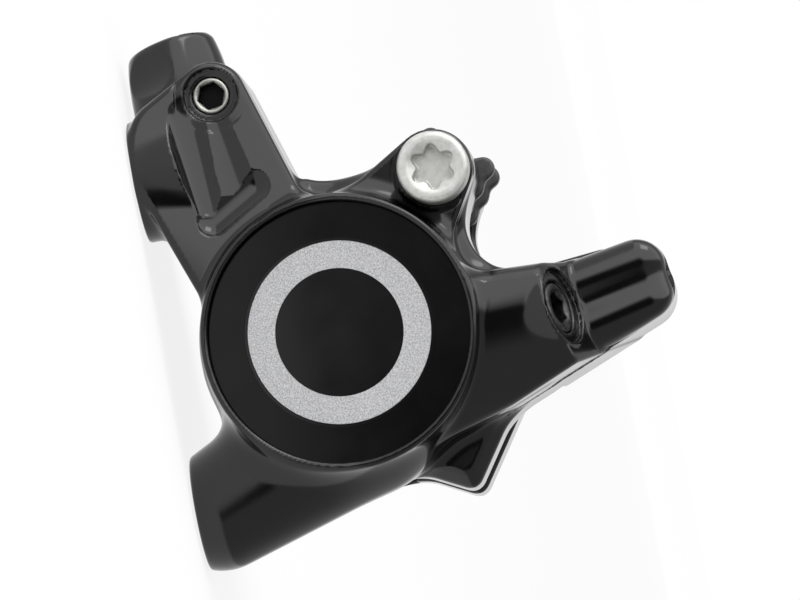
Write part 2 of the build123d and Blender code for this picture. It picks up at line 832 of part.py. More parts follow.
# Leaf spring that spreads the pads, a bridge over the rotor's edge with a frame down each pad
with BuildPart() as pad_spring:
    spring_reach = plate_face - spring_clearance
    with BuildSketch(pad_on(rotor_y + spring_reach)):
        with Locations((0, spring_bridge + spring_thickness / 2)):
            Rectangle(2 * spring_half_length, spring_thickness)
    extrude(amount=2 * spring_reach)
    for side in (-1, 1):
        with BuildSketch(pad_on(far_y(side, spring_reach - spring_thickness, spring_reach))):
            with Locations((0, (spring_bridge + spring_thickness - spring_leg_inner) / 2)):
                Rectangle(2 * spring_half_length, spring_bridge + spring_thickness + spring_leg_inner)
            with Locations((0, -spring_leg_inner)):
                Rectangle(
                    2 * (spring_half_length - spring_leg_width),
                    2 * (spring_leg_inner + spring_bridge - spring_leg_width),
                    mode=Mode.SUBTRACT,
                )
        extrude(amount=spring_thickness)
pad_spring.part.label = "pad_spring"
export_step(pad_spring.part, "parts/pad_spring.step")

# Pad bolt, with a rounded head, a six-lobed socket and a groove for its clip
pad_bolt_tip_y = rotor_y + pad_back + pad_boss_depth + clip_setback + clip_thickness + pad_bolt_end
clip_y = rotor_y + pad_back + pad_boss_depth + clip_setback
with BuildPart() as pad_axle_bolt:
    with BuildSketch(face_on(pad_bolt_seat_y)):
        with Locations((pad_bolt_x, pad_bolt_z)):
            Circle(pad_bolt_head_r)
    extrude(amount=pad_bolt_head_height)
    fillet(pad_axle_bolt.faces().sort_by(Axis.Y)[0].edges(), radius=pad_bolt_head_edge_r)
    with BuildSketch(face_on(pad_bolt_tip_y)):
        with Locations((pad_bolt_x, pad_bolt_z)):
            Circle(pad_bolt_r)
    extrude(amount=pad_bolt_tip_y - pad_bolt_seat_y)
    with BuildSketch(face_on(clip_y + clip_thickness)):
        with Locations((pad_bolt_x, pad_bolt_z)):
            Circle(pad_bolt_r)
            Circle(clip_groove_r, mode=Mode.SUBTRACT)
    extrude(amount=clip_thickness, mode=Mode.SUBTRACT)
    with BuildSketch(face_on(pad_bolt_seat_y - pad_bolt_head_height + pad_bolt_socket_depth)):
        with Locations((pad_bolt_x, pad_bolt_z)):
            Circle(pad_bolt_socket_r)
            with PolarLocations(pad_bolt_socket_reach, 6):
                Circle(pad_bolt_socket_lobe_r)
    extrude(amount=pad_bolt_socket_depth, mode=Mode.SUBTRACT)
pad_axle_bolt.part.label = "pad_axle_bolt"
export_step(pad_axle_bolt.part, "parts/pad_axle_bolt.step")

# Clip on the pad bolt's far end, open on one side
with BuildPart() as axle_clip:
    with BuildSketch(face_on(clip_y + clip_thickness)):
        with Locations((pad_bolt_x, pad_bolt_z)):
            Circle(clip_r)
            Circle(clip_groove_r + thread_clearance, mode=Mode.SUBTRACT)
        with Locations((pad_bolt_x, pad_bolt_z + clip_r)):
            Rectangle(clip_gap, 2 * clip_r, mode=Mode.SUBTRACT)
    extrude(amount=clip_thickness)
axle_clip.part.label = "axle_clip"
export_step(axle_clip.part, "parts/axle_clip.step")

# Bolts that hold the halves together
with BuildPart() as body_bolts:
    for x, z in body_bolt_places:
        with BuildSketch(face_on(body_bolt_seat_y)):
            with Locations((x, z)):
                Circle(body_bolt_r)
        extrude(amount=body_bolt_seat_y - body_bolt_tip_y)
        with BuildSketch(face_on(body_bolt_seat_y + body_bolt_head_height)):
            with Locations((x, z)):
                Circle(body_bolt_head_r)
        extrude(amount=body_bolt_head_height)
        with BuildSketch(face_on(body_bolt_seat_y + body_bolt_head_height)):
            with Locations((x, z)):
                RegularPolygon(body_bolt_hex / 2, 6, major_radius=False)
        extrude(amount=body_bolt_hex_depth, mode=Mode.SUBTRACT)
body_bolts.part.label = "body_bolts"
export_step(body_bolts.part, "parts/body_bolts.step")

# Ring round the oil passage where the halves meet
with BuildPart() as crossover_seal:
    with Locations(Plane(origin=(passage_x, rotor_y - crossover_cord_r, passage_z), z_dir=(0, 1, 0))):
        Torus(crossover_ring_r, crossover_cord_r)
crossover_seal.part.label = "crossover_seal"
export_step(crossover_seal.part, "parts/crossover_seal.step")

# Grub screw that closes the oil passage
with BuildPart() as passage_plug:
    with BuildSketch(face_on(plug_face_y + plug_length)):
        with Locations((passage_x, passage_z)):
            Circle(plug_r)
    extrude(amount=plug_length)
    with BuildSketch(face_on(plug_face_y + plug_hex_depth)):
        with Locations((passage_x, passage_z)):
            RegularPolygon(plug_hex / 2, 6, major_radius=False)
    extrude(amount=plug_hex_depth, mode=Mode.SUBTRACT)
passage_plug.part.label = "passage_plug"
export_step(passage_plug.part, "parts/passage_plug.step")

# Bleed screw, with a hex socket, a groove for its ring and a pointed seat
bleed_section = Plane(origin=on_bleed(-bleed_recess_depth), z_dir=bleed_way)
bleed_groove_r = bleed_screw_r - 2 * bleed_cord_r
with BuildPart() as bleed_screw:
    with BuildSketch(bleed_section):
        Circle(bleed_screw_r)
    extrude(amount=-bleed_screw_length)
    chamfer(bleed_screw.faces().sort_by(Axis.Z)[0].edges(), length=bleed_screw_r / 2)
    with BuildSketch(bleed_section):
        RegularPolygon(bleed_hex / 2, 6, major_radius=False)
    extrude(amount=-bleed_hex_depth, mode=Mode.SUBTRACT)
    with BuildSketch(bleed_section.offset(-bleed_groove_setback)):
        Circle(bleed_screw_r)
        Circle(bleed_groove_r, mode=Mode.SUBTRACT)
    extrude(amount=-2 * bleed_cord_r, mode=Mode.SUBTRACT)
bleed_screw.part.label = "bleed_screw"
export_step(bleed_screw.part, "parts/bleed_screw.step")

# Ring on the bleed screw
with BuildPart() as bleed_seal:
    with Locations(bleed_section.offset(-bleed_groove_setback - bleed_cord_r)):
        Torus(bleed_groove_r + bleed_cord_r, bleed_cord_r)
bleed_seal.part.label = "bleed_seal"
export_step(bleed_seal.part, "parts/bleed_seal.step")
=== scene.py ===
import json
import math

import bmesh
import bpy
import numpy as np
from mathutils import Matrix, Vector

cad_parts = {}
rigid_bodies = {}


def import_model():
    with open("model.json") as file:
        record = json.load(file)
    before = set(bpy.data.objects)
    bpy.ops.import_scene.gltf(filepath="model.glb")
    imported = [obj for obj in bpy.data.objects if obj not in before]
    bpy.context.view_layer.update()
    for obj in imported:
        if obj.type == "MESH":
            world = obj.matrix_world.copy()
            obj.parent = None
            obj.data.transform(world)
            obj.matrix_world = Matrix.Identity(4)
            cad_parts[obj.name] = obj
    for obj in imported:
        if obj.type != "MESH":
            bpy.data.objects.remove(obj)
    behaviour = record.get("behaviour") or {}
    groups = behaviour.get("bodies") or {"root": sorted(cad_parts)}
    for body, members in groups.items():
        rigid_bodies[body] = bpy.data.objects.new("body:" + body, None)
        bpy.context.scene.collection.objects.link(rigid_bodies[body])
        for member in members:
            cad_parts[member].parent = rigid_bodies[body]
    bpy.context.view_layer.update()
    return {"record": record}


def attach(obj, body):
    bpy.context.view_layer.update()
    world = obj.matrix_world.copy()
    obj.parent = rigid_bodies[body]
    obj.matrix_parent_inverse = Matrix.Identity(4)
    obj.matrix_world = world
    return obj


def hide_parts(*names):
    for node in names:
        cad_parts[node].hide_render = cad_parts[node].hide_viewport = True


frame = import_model()

# Scale: the shapes below are worked out in millimetres and written in metres
MM = 0.001
GRID = 0.25

# The photograph's frame and where its camera stands
PHOTO_WIDTH = 800
CAMERA_DISTANCE = 700.0
PIXELS_PER_MM = 9.9
CAMERA_AZIMUTH = math.radians(5.2)
CAMERA_HEIGHT = math.radians(3.0)
AIM = Vector((-0.457, 0.0, 23.96))
X_AXIS_IN_PICTURE = (0.1857, -0.9826)
SENSOR = 36.0

# Places on the caliper, in millimetres, as on the solids: a pair is an x and a z, seen face on
ROTOR_Y = 13.0
RIM_Y = -7.5
BOLT_REACH = 19.0
HUB_REACH = 61.5
OUTWARD_TURN = math.radians(139.7)
OUTWARD = (math.cos(OUTWARD_TURN), math.sin(OUTWARD_TURN))
ALONG = (OUTWARD[1], -OUTWARD[0])
PISTON = (2.1, 17.7)
HUB = (PISTON[0] - HUB_REACH * OUTWARD[0], PISTON[1] - HUB_REACH * OUTWARD[1])
PAD_BOLT = (PISTON[0] + BOLT_REACH * OUTWARD[0], PISTON[1] + BOLT_REACH * OUTWARD[1])
PLUG = (-24.24, 9.12)
ARM_BOLT = (-21.2, 5.4)
ARM_ROOT = (-6.5, 11.0)
TIP_BOLT = (1.6, 44.5)
BLEED = np.array((3.53, -3.2, 40.16))
BLEED_LEAN = math.radians(21.8)
BLEED_TURN = math.radians(97.8)
BLEED_WAY = np.array((
    math.cos(BLEED_LEAN) * math.cos(BLEED_TURN),
    -math.sin(BLEED_LEAN),
    math.cos(BLEED_LEAN) * math.sin(BLEED_TURN),
))

# Ways to drill: out of the face, into it, in from the port's end and up from the foot
OUT = (0, -1, 0)
IN = (0, 1, 0)
FROM_PORT = (1, 0, 0)
FROM_FOOT = (0, 0, 1)

# What scales a sum of two distances to the distance from a chamfer
DIAGONAL = 0.707


# Camera

def add_camera():
    """Stands the camera where the photograph was taken from."""
    back = Vector((
        math.sin(CAMERA_AZIMUTH) * math.cos(CAMERA_HEIGHT),
        -math.cos(CAMERA_AZIMUTH) * math.cos(CAMERA_HEIGHT),
        math.sin(CAMERA_HEIGHT),
    ))
    right = Vector((math.cos(CAMERA_AZIMUTH), math.sin(CAMERA_AZIMUTH), 0.0))
    up = back.cross(right)
    roll = math.atan2(X_AXIS_IN_PICTURE[1], X_AXIS_IN_PICTURE[0]) - math.atan2(up.x, right.x)
    right, up = (
        math.cos(roll) * right - math.sin(roll) * up,
        math.sin(roll) * right + math.cos(roll) * up,
    )
    camera = bpy.data.objects.new("camera", bpy.data.cameras.new("camera"))
    camera.data.sensor_width = SENSOR
    camera.data.lens = PIXELS_PER_MM * CAMERA_DISTANCE * SENSOR / PHOTO_WIDTH
    camera.data.clip_start = 0.01
    camera.data.clip_end = 20.0
    turn = Matrix((right, up, back)).transposed().to_4x4()
    camera.matrix_world = Matrix.Translation((AIM + back * CAMERA_DISTANCE) * MM) @ turn
    bpy.context.scene.collection.objects.link(camera)
    bpy.context.scene.camera = camera


# Distance functions: each gives millimetres to a shape, negative inside it

def meld(a, b, fillet):
    """The union of two shapes, with a fillet about so wide between them."""
    h = np.maximum(fillet - np.abs(a - b), 0.0) / fillet
    return np.minimum(a, b) - h * h * fillet / 4


def carve(a, b, fillet):
    """Shape a less shape b, with its new edges rounded about so wide."""
    return -meld(-a, b, fillet)


def clip(a, b, fillet):
    """What shapes a and b share, with its edges rounded about so wide."""
    return -meld(-a, -b, fillet)


def rounded(a, b, edge):
    """A shape bounded by a and b, with the edge between them rounded to a radius."""
    a = a + edge
    b = b + edge
    out = np.sqrt(np.maximum(a, 0.0) ** 2 + np.maximum(b, 0.0) ** 2)
    return np.minimum(np.maximum(a, b), 0.0) + out - edge


def slab(outline, y, front, back, edge):
    """An outline made solid between two depths."""
    half = (back - front) / 2
    return rounded(outline, np.abs(y - front - half) - half, edge)


def taper(along, across, length, start_r, end_r):
    """The distance to a tapered bar, from the places along and across it."""
    lean = (start_r - end_r) / length
    side = math.sqrt(1.0 - lean * lean)
    turn = along * side - across * lean
    near = np.sqrt(along * along + across * across) - start_r
    far = np.sqrt((along - length) ** 2 + across * across) - end_r
    wall = across * side + along * lean - start_r
    return np.where(turn < 0, near, np.where(turn > side * length, far, wall))


def on_axis(x, y, z, start, way):
    """Places along an axis and away from it."""
    px, py, pz = x - start[0], y - start[1], z - start[2]
    along = px * way[0] + py * way[1] + pz * way[2]
    across = np.sqrt(np.maximum(px * px + py * py + pz * pz - along * along, 0.0))
    return along, across


def rod(x, y, z, start, end, start_r, end_r=None):
    """A round bar from one point to another, that may taper, with ball ends."""
    end_r = start_r if end_r is None else end_r
    way = np.subtract(end, start)
    length = float(np.linalg.norm(way))
    along, across = on_axis(x, y, z, start, way / length)
    return taper(along, across, length, start_r, end_r)


def pipe(x, y, z, start, way, radius, length, edge=0.0):
    """A round bar with flat ends, from its start along a direction."""
    along, across = on_axis(x, y, z, start, way)
    return slab(across - radius, along, 0.0, length, edge)


def hole(x, y, z, centre, depth, way, radius, length):
    """A round hole that runs straight in or out from a depth."""
    return pipe(x, y, z, (centre[0], depth, centre[1]), way, radius, length)


def past(x, y, z, point, way):
    """How far each point is past a plane through a point, along the plane's normal."""
    return (x - point[0]) * way[0] + (y - point[1]) * way[1] + (z - point[2]) * way[2]


def bar(x, z, start, end, start_r, end_r):
    """The outline, seen face on, of a bar with round ends."""
    way = np.subtract(end, start)
    length = float(np.linalg.norm(way))
    way = way / length
    px, pz = x - start[0], z - start[1]
    along = px * way[0] + pz * way[1]
    across = np.abs(px * way[1] - pz * way[0])
    return taper(along, across, length, start_r, end_r)


def around(x, z, centre):
    """How far each point is from an axis that runs straight in."""
    return np.sqrt((x - centre[0]) ** 2 + (z - centre[1]) ** 2)


def fade(run):
    """A share that grows from nothing to one over a stretch of FADE."""
    return np.clip(run / FADE, 0, 1)


def pad_places(x, z):
    """Places along the rotor's edge and away from the hub, from the cylinders' axis."""
    dx, dz = x - PISTON[0], z - PISTON[1]
    return dx * ALONG[0] + dz * ALONG[1], dx * OUTWARD[0] + dz * OUTWARD[1]


def at_pad(t, r):
    """The x and z of a place along the rotor's edge and away from the hub."""
    return (
        PISTON[0] + t * ALONG[0] + r * OUTWARD[0],
        PISTON[1] + t * ALONG[1] + r * OUTWARD[1],
    )


def hull3(x, z, *circles):
    """The outline of three circles and all that lies between them."""
    centre = sum(np.array(circle[:2]) for circle in circles) / 3
    sides, inner = None, None
    for p, q in zip(circles, circles[1:] + circles[:1]):
        side = bar(x, z, p[:2], q[:2], p[2], q[2])
        sides = side if sides is None else np.minimum(sides, side)
        way = np.subtract(q[:2], p[:2])
        normal = np.array((way[1], -way[0])) / np.linalg.norm(way)
        if np.dot(normal, centre - np.array(p[:2])) > 0:
            normal = -normal
        edge = (x - p[0]) * normal[0] + (z - p[1]) * normal[1]
        inner = edge if inner is None else np.maximum(inner, edge)
    return np.where(inner < 0, np.minimum(sides, inner), sides)


# Turning a distance function into a mesh

def nets(values):
    """The cells that a surface passes through, a vertex in each, and the faces that join them."""
    inside = values < 0
    cells = tuple(n - 1 for n in values.shape)
    count = cells[0] * cells[1] * cells[2]
    sums = np.zeros((3, count))
    hits = np.zeros(count)
    faces = []
    strides = (cells[1] * cells[2], cells[2], 1)
    for axis in range(3):
        u, v = (axis + 1) % 3, (axis + 2) % 3
        low = [slice(None)] * 3
        high = [slice(None)] * 3
        low[axis] = slice(0, -1)
        high[axis] = slice(1, None)
        near, far = inside[tuple(low)], inside[tuple(high)]
        place = np.argwhere(near != far)
        i, j, k = place.T
        start = values[tuple(low)][i, j, k]
        end = values[tuple(high)][i, j, k]
        share = start / (start - end)
        point = place.astype(float)
        point[:, axis] += share
        base = place @ np.array(strides)
        ring = []
        for du, dv in ((-1, -1), (0, -1), (0, 0), (-1, 0)):
            cell = base + du * strides[u] + dv * strides[v]
            ring.append(cell)
            hits += np.bincount(cell, minlength=count)
            for side in range(3):
                sums[side] += np.bincount(cell, weights=point[:, side], minlength=count)
        quad = np.stack(ring, axis=1)
        outward = near[i, j, k]
        faces.append(np.where(outward[:, None], quad, quad[:, ::-1]))
    used = hits > 0
    number = np.cumsum(used) - 1
    points = (sums[:, used] / hits[used]).T
    return points, number[np.concatenate(faces)]


# Rounds in which the vertices are drawn on to the surface, and the least slopes that count
ROUNDS = 3
LEAST_SLOPE_SQUARED = 0.05
LEAST_LENGTH = 1e-6


def slopes(shape, points, step):
    """Which way a distance function rises at each point."""
    out = np.empty_like(points)
    for axis in range(3):
        ahead, behind = points.copy(), points.copy()
        ahead[:, axis] += step
        behind[:, axis] -= step
        out[:, axis] = (shape(*ahead.T) - shape(*behind.T)) / (2 * step)
    return out


def solid_mesh(name, shape, low, high, step):
    """A smooth mesh of the surface of a distance function, within a box."""
    axes = [np.arange(low[n], high[n] + step, step) for n in range(3)]
    grid = np.meshgrid(*axes, indexing="ij", sparse=True)
    values = shape(*grid).astype(np.float32)
    points, faces = nets(np.broadcast_to(values, tuple(len(a) for a in axes)))
    points = points * step + np.array([a[0] for a in axes])
    for _ in range(ROUNDS):
        slope = slopes(shape, points, step / 4)
        size = np.maximum((slope ** 2).sum(axis=1), LEAST_SLOPE_SQUARED)
        move = shape(*points.T) / size
        points -= np.clip(move, -step, step)[:, None] * slope
    slope = slopes(shape, points, step / 4)
    slope /= np.maximum(np.linalg.norm(slope, axis=1), LEAST_LENGTH)[:, None]
    mesh = bpy.data.meshes.new(name)
    mesh.from_pydata((points * MM).tolist(), [], faces.tolist())
    mesh.polygons.foreach_set("use_smooth", [True] * len(mesh.polygons))
    mesh.normals_split_custom_set_from_vertices(slope.tolist())
    return add_piece(name, mesh)


def add_piece(name, mesh):
    """Puts a mesh in the scene as a piece of the object."""
    piece = bpy.data.objects.new(name, mesh)
    bpy.context.scene.collection.objects.link(piece)
    return piece


# Shapes that the two halves share

# Some fillets grow from tight to wide over a stretch: past one z, and below one x
FADE = 4.0
WIDE_FROM_Z = 13.0
WIDE_UNDER_X = 4.0

# Rotor's slot and pads' space: half of each, from the rotor's middle
SLOT_RADIUS = 71.5
SLOT_HALF = 2.6
PADS_HALF_SPAN = 12.2
PADS_HALF_DEPTH = 5.5


def rotor_space(x, y, z, side):
    """The slot for the rotor and the space for the pads, on one side of the rotor."""
    t, r = pad_places(x, z)
    away = side * (y - ROTOR_Y)
    slot = np.maximum(around(x, z, HUB) - SLOT_RADIUS, away - SLOT_HALF)
    pads = np.maximum(np.abs(t) - PADS_HALF_SPAN, away - PADS_HALF_DEPTH)
    return np.minimum(slot, pads)


# Wall that the pads push against, in places along the rotor's edge, and the fin's long side
WALL_REACH = 18.1
WALL_TAPER = 0.0965
WALL_TOP = 4.0
WALL_DEPTH = 9.5
WALL_CHAMFER = 1.25
FIN_WAY = (0.885, -0.465)
FIN_REACH = 4.5


def end_wall(x, y, z, side):
    """The wall that the pads push against, which stands out behind the bleed arm."""
    t, r = pad_places(x, z)
    away = side * (y - ROTOR_Y)
    end = math.cos(math.atan(WALL_TAPER)) * (t - WALL_REACH + WALL_TAPER * (r - WALL_TOP))
    fin = FIN_WAY[0] * x + FIN_WAY[1] * z - FIN_REACH
    plan = clip(clip(end, fin, fillet=1.4), r - WALL_TOP, fillet=1.0)
    plan = np.maximum(plan, -t)
    solid = clip(plan, away - WALL_DEPTH, fillet=0.4)
    return clip(solid, DIAGONAL * (plan + away - WALL_DEPTH + WALL_CHAMFER), fillet=0.3)


# Where the pad bolt's boss starts, in places at the pads
PAD_BOSS_ROOT = (-1.3, 6.2)
PAD_BOSS_ROOT_RADIUS = 7.3


def pad_boss(x, z, centre, radius):
    """The outline of the boss round the pad bolt."""
    return bar(x, z, centre, at_pad(*PAD_BOSS_ROOT), radius, PAD_BOSS_ROOT_RADIUS)


# Web: its radius, how far it stands back, and the widths that its corners are filled to
WEB_RADIUS = 14.8
WEB_SINK = 0.25
TIGHT_FILL = 0.8
ARM_FILL = 5.2
BOLT_FILL = 6.0
TIP_FILL = 4.7


def web_outline(x, z, arm, bolt_boss, tip):
    """The outline of the web that fills the corners between the cylinder and its three arms."""
    web = meld(
        around(x, z, PISTON) - WEB_RADIUS, arm, TIGHT_FILL + ARM_FILL * fade(z - WIDE_FROM_Z)
    )
    web = meld(web, bolt_boss, BOLT_FILL)
    return meld(web, tip, TIGHT_FILL + TIP_FILL * fade(WIDE_UNDER_X - x))


# Hose arm and its port

# A circle has its x, z and radius, a plane a point and its way, and a cut its ends and radii
ARM_TIP = (*PLUG, 3.5)
ARM_CORNER = (-20.6, 4.5, 4.3)
ARM_FOOT = (-17.0, 5.6, 5.4)
ARM_END = (*ARM_ROOT, 6.9)
ARM_FRONT = ((-16.0, -4.5, 9.0), (-0.13, -0.98, 0.15))
RIGHT_CHANNEL = ((-21.5, -4.75, 9.3), (-14.2, -8.15, 10.6), 1.6, 4.2)
LEFT_CHANNEL = ((-22.7, -6.0, 6.8), (-12.8, -6.3, 7.4), 2.9, 1.9)
RUN_OUT = ((-14.4, -5.75, 12.0), (-11.6, -6.75, 7.4), 2.2)
PORT = (-32.1, 7.0, 5.4)
PORT_RADIUS = 5.25
PORT_LENGTH = 10.0
PORT_MOUTH_RADIUS = 4.1
PORT_MOUTH_WAY = (0.934, -0.358)
PORT_LOW_SIDE = 0.3
PORT_CORNER = ((-31.25, 0.0, 3.2), (-0.97, 0.0, -0.23))
PORT_RIDGE = (-32.1, 1.9, 5.4)
PORT_LOW_FLAT = (-0.15, -0.81, -0.56)
PORT_HIGH_FLAT = (-0.2, -0.79, 0.58)
PORT_SCALLOP = ((-28.5, 2.1, -3.05), (-29.1, -2.0, 3.1), 4.6)


def hose_arm(x, z):
    """The outline of the hose arm."""
    upper = hull3(x, z, ARM_TIP, ARM_CORNER, ARM_END)
    return np.minimum(upper, hull3(x, z, ARM_CORNER, ARM_FOOT, ARM_END))


def arm_channels(x, y, z):
    """Two shallow channels that a round cutter left down the hose arm, and where it ran out."""
    channels = np.minimum(rod(x, y, z, *RIGHT_CHANNEL), rod(x, y, z, *LEFT_CHANNEL))
    return np.minimum(channels, rod(x, y, z, *RUN_OUT))


def port_boss(x, y, z):
    """The boss of the hose port at the arm's end, with flats and a scallop forged on it."""
    body = pipe(x, y, z, PORT, FROM_PORT, PORT_RADIUS, PORT_LENGTH, edge=1.0)
    mouth = PORT_MOUTH_WAY[0] * (around(y, z, PORT[1:]) - PORT_MOUTH_RADIUS)
    body = clip(body, mouth + PORT_MOUTH_WAY[1] * (x - PORT[0]), fillet=1.2)
    body = clip(body, PORT_LOW_SIDE - z, fillet=0.5)
    body = clip(body, past(x, y, z, *PORT_CORNER), fillet=0.6)
    for flat in (PORT_LOW_FLAT, PORT_HIGH_FLAT):
        body = clip(body, past(x, y, z, PORT_RIDGE, flat), fillet=0.2)
    return carve(body, rod(x, y, z, *PORT_SCALLOP), fillet=0.1)


# Bleed arm

# Each ridge has its ends and radii, seen face on, and each crest its ends
NEAR_RIDGE = ((3.64, 33.0), (1.1, 47.8), 3.5, 3.4)
FAR_RIDGE = ((5.6, 31.0), (2.8, 48.05), 7.1, 3.45)
LOWER_FILL = (PISTON, (5.6, 31.0), 14.2, 7.1)
NEAR_CREST = ((2.7, 33.0), (0.1, 48.3))
FAR_CREST = ((7.6, 33.0), (4.15, 48.6))
ROOT_CREST = ((3.2, 16.0), (0.8, 52.0))
TIP_FRONT = 0.4
TIP_CROWN = 2.9
ROOT_FRONT = -6.5
ROOT_CROWN = 17.0
OVERRUN = 1.0

# Depth that the outer half's forms run to, past the joint that they are cut at
PAST_JOINT = 16.0


def crowned(x, y, z, outline, front, crown, edge, *crests):
    """An outline with rounded crests along its front, which meet upright side walls at an edge."""
    axis = front + crown
    top = None
    for root, tip in crests:
        crest = rod(x, y, z, (root[0], axis, root[1]), (tip[0], axis, tip[1]), crown)
        crest = np.where(y > axis, np.minimum(crest, outline), crest)
        top = crest if top is None else meld(top, crest, fillet=1.6)
    return clip(slab(outline, y, front - OVERRUN, PAST_JOINT, edge=0.0), top, edge)


def bleed_arm(x, y, z):
    """Two low ridges at the arm's tip, and a thick root that ends at a slanted face."""
    outline = meld(bar(x, z, *NEAR_RIDGE), bar(x, z, *FAR_RIDGE), fillet=0.3)
    tip = crowned(x, y, z, outline, TIP_FRONT, TIP_CROWN, 0.8, NEAR_CREST, FAR_CREST)
    lower_fill = clip(bar(x, z, *LOWER_FILL), WIDE_UNDER_X - x, fillet=1.0)
    outline = np.minimum(outline, lower_fill)
    edge = 0.7 + 2.3 * fade(WIDE_UNDER_X - x)
    root = crowned(x, y, z, outline, ROOT_FRONT, ROOT_CROWN, edge, ROOT_CREST)
    root = clip(root, past(x, y, z, BLEED, BLEED_WAY), fillet=0.5)
    return meld(tip, root, fillet=0.5)


# Outer half of the body

BOSS_RADIUS = 13.9
BOSS_TAPER = 0.071
BOSS_TAPER_TO = 8.0
BOSS_BACK = 19.5
ARM_FRONT_Y = -6.5
FOOT = ((-17.2, 0, 0), FROM_FOOT, 6.2, 8.0)
REAR_ARM = ((17.0, 0, 2.3), (10.9, 1.4, 17.5), 6.15, 7.6)
PAD_BOSS_PLACE = at_pad(-0.25, BOLT_REACH)
PAD_BOSS_RADIUS = 4.05
PAD_BOSS_DEPTHS = (-3.7, 9.0)
BLEED_BOSS_RADIUS = 4.2
BLEED_BOSS_LENGTH = 13.0
WEB_FRONT = -1.0
WEB_TO_Z = 38.5
JOINT_GAP = 0.02
RIM_GAP = 0.05

# Holes: axis, the depth where each starts, which way it runs, radius and length
PLUG_FACE = (PLUG, -3.5, OUT, 3.6, 6.0)
BOLT_FACE = (PAD_BOLT, -3.7, OUT, 3.95, 6.0)
CAP_RECESS = (PISTON, -3.42, OUT, 13.2, 9.0)
OIL_CHAMBER = (PISTON, -6.0, IN, 11.62, 4.4)
OUTER_BORE = (PISTON, -6.0, IN, 10.6, 16.0)
PLUG_THREAD = (PLUG, -2.6, OUT, 2.7, 6.0)
OIL_WAY = (PLUG, -4.0, IN, 1.9, 6.5)
BOLT_HOLE = (PAD_BOLT, -8.0, IN, 2.3, 30.0)
PORT_THREAD = ((-34.0, 7.0, 5.4), FROM_PORT, 3.62, 8.4)
MOUNT_PLACES = (-17.0, 17.0)
MOUNT_START = -2.0
MOUNT_RADIUS = 2.1
MOUNT_LENGTH = 11.0
BLEED_RECESS = (BLEED - 0.4 * BLEED_WAY, BLEED_WAY, 3.9, 16.0)
BLEED_THREAD = (BLEED - 7.7 * BLEED_WAY, BLEED_WAY, 2.72, 12.0)


def outer_forging(x, y, z):
    """The outer half as it is forged."""
    flare = BOSS_TAPER * (np.minimum(y, BOSS_TAPER_TO) - RIM_Y)
    boss = slab(around(x, z, PISTON) - BOSS_RADIUS - flare, y, RIM_Y, BOSS_BACK, edge=0.45)
    arm = slab(hose_arm(x, z), y, ARM_FRONT_Y, PAST_JOINT, edge=0.8)
    arm = clip(arm, past(x, y, z, *ARM_FRONT), fillet=1.0)
    rear = clip(rod(x, y, z, *REAR_ARM), -z, fillet=0.5)
    bolt_outline = pad_boss(x, z, PAD_BOSS_PLACE, PAD_BOSS_RADIUS)
    bleed_boss = pipe(x, y, z, BLEED, -BLEED_WAY, BLEED_BOSS_RADIUS, BLEED_BOSS_LENGTH, edge=0.3)
    ridges = np.minimum(bar(x, z, *NEAR_RIDGE), bar(x, z, *FAR_RIDGE))
    web = clip(web_outline(x, z, hose_arm(x, z), bolt_outline, ridges), z - WEB_TO_Z, fillet=2.0)
    body = meld(boss, arm, 1.0 + 1.4 * fade(z - WIDE_FROM_Z))
    body = meld(body, rear, fillet=3.0)
    body = meld(body, slab(bolt_outline, y, *PAD_BOSS_DEPTHS, edge=0.5), fillet=2.0)
    bleed = meld(bleed_arm(x, y, z), bleed_boss, fillet=0.4)
    body = meld(body, bleed, 0.8 + 1.4 * fade(WIDE_UNDER_X - x))
    body = meld(body, slab(web + WEB_SINK, y, WEB_FRONT, PAST_JOINT, edge=1.2), fillet=0.8)
    body = meld(body, pipe(x, y, z, *FOOT, edge=0.3), fillet=0.8)
    body = meld(body, end_wall(x, y, z, -1), fillet=1.6)
    return meld(body, port_boss(x, y, z), fillet=0.6)


def outer_half(x, y, z):
    """The outer half of the body: its forging, and then what is cut."""
    body = carve(outer_forging(x, y, z), arm_channels(x, y, z), fillet=0.15)
    for face in (PLUG_FACE, BOLT_FACE):
        body = carve(body, hole(x, y, z, *face), fillet=0.5)
    body = clip(body, y - ROTOR_Y + JOINT_GAP, fillet=0.5)
    body = clip(body, RIM_Y + RIM_GAP - y, fillet=0.1)
    body = clip(body, -z, fillet=0.3)
    body = carve(body, rotor_space(x, y, z, -1), fillet=0.5)
    cylinder = np.minimum(hole(x, y, z, *CAP_RECESS), hole(x, y, z, *OIL_CHAMBER))
    body = carve(body, np.minimum(cylinder, hole(x, y, z, *OUTER_BORE)), fillet=0.3)
    body = carve(body, hole(x, y, z, *PLUG_THREAD), fillet=0.3)
    body = carve(body, hole(x, y, z, *OIL_WAY), fillet=0.25)
    body = carve(body, pipe(x, y, z, *PORT_THREAD), fillet=0.3)
    body = carve(body, hole(x, y, z, *BOLT_HOLE), fillet=0.3)
    for place in MOUNT_PLACES:
        mount = pipe(x, y, z, (place, 0, MOUNT_START), FROM_FOOT, MOUNT_RADIUS, MOUNT_LENGTH)
        body = carve(body, mount, fillet=0.5)
    for cut in (BLEED_RECESS, BLEED_THREAD):
        body = carve(body, pipe(x, y, z, *cut), fillet=0.25)
    return body


# Inner half of the body

